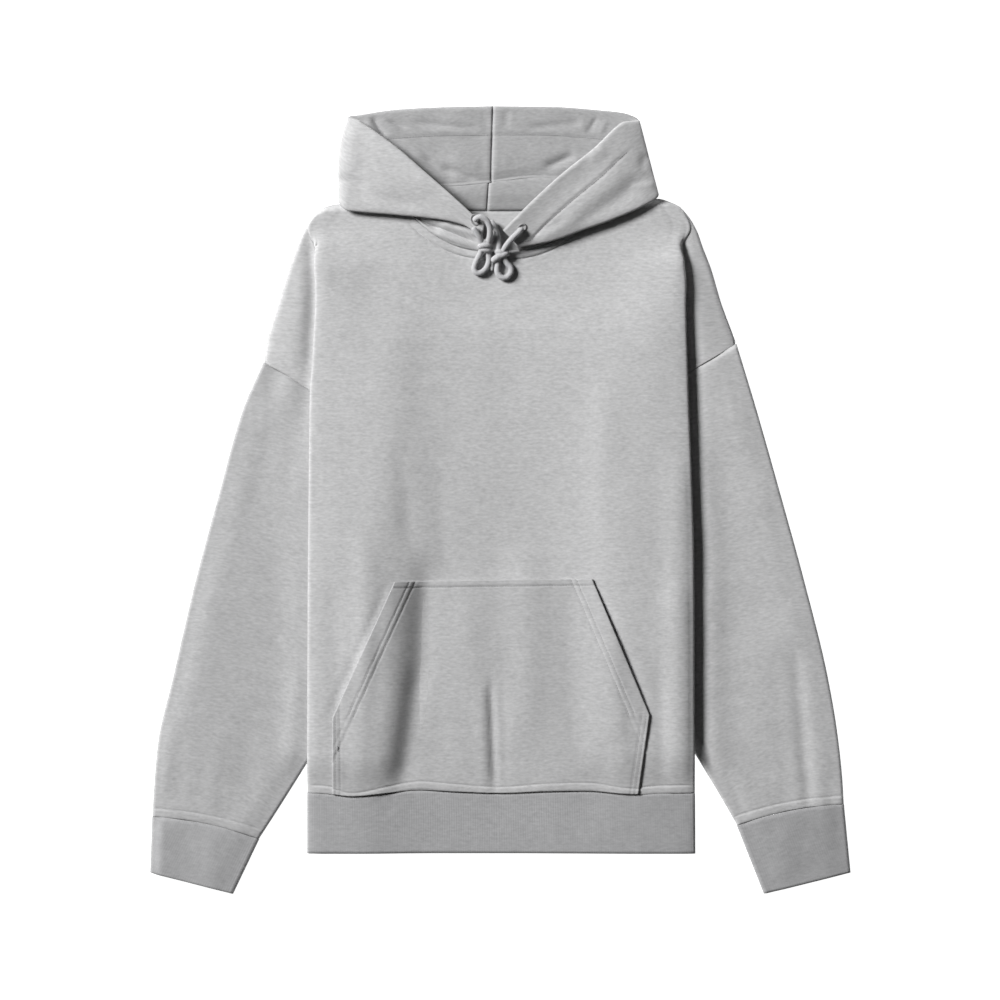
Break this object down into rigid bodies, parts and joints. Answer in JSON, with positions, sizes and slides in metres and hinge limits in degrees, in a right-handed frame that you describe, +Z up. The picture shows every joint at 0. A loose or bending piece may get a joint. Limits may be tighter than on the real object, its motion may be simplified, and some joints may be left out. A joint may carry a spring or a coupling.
{
  "type": "pullover hoodie",
  "caption": "Long-sleeved fleece pullover with a hood, drawcords, a front pouch pocket and ribbed cuffs and hem, lying flat with the front up.",
  "frame": {"origin": "centre of the bounding box in plan without the cords and knots, at the surface the garment lies on", "axes": "+Z up from the surface, +Y from the hem to the hood, +X to the wearer's left, which is the right-hand side seen from above"},
  "size_m": [0.743, 0.8342, 0.031],
  "materials": {
    "back": "heather fleece",
    "cord_left": "braided cotton",
    "cord_left_loop": "braided cotton",
    "cord_left_tail": "braided cotton",
    "cord_right": "braided cotton",
    "cord_right_loop": "braided cotton",
    "cord_right_tail": "braided cotton",
    "cuff_left": "ribbed knit",
    "cuff_right": "ribbed knit",
    "front": "heather fleece",
    "hem_rib": "ribbed knit",
    "hood_left": "heather fleece",
    "hood_right": "heather fleece",
    "knot_left": "braided cotton",
    "knot_right": "braided cotton",
    "pocket": "heather fleece",
    "sleeve_left": "heather fleece",
    "sleeve_right": "heather fleece"
  },
  "bodies": {
    "root": {"back": "back", "cord_left": "cord_left", "cord_left_loop": "cord_left_loop", "cord_left_tail": "cord_left_tail", "cord_right": "cord_right", "cord_right_loop": "cord_right_loop", "cord_right_tail": "cord_right_tail", "cuff_left": "cuff_left", "cuff_right": "cuff_right", "front": "front", "hem_rib": "hem_rib", "hood_left": "hood_left", "hood_right": "hood_right", "knot_left": "knot_left", "knot_right": "knot_right", "pocket": "pocket", "sleeve_left": "sleeve_left", "sleeve_right": "sleeve_right"}
  },
  "joints": []
}
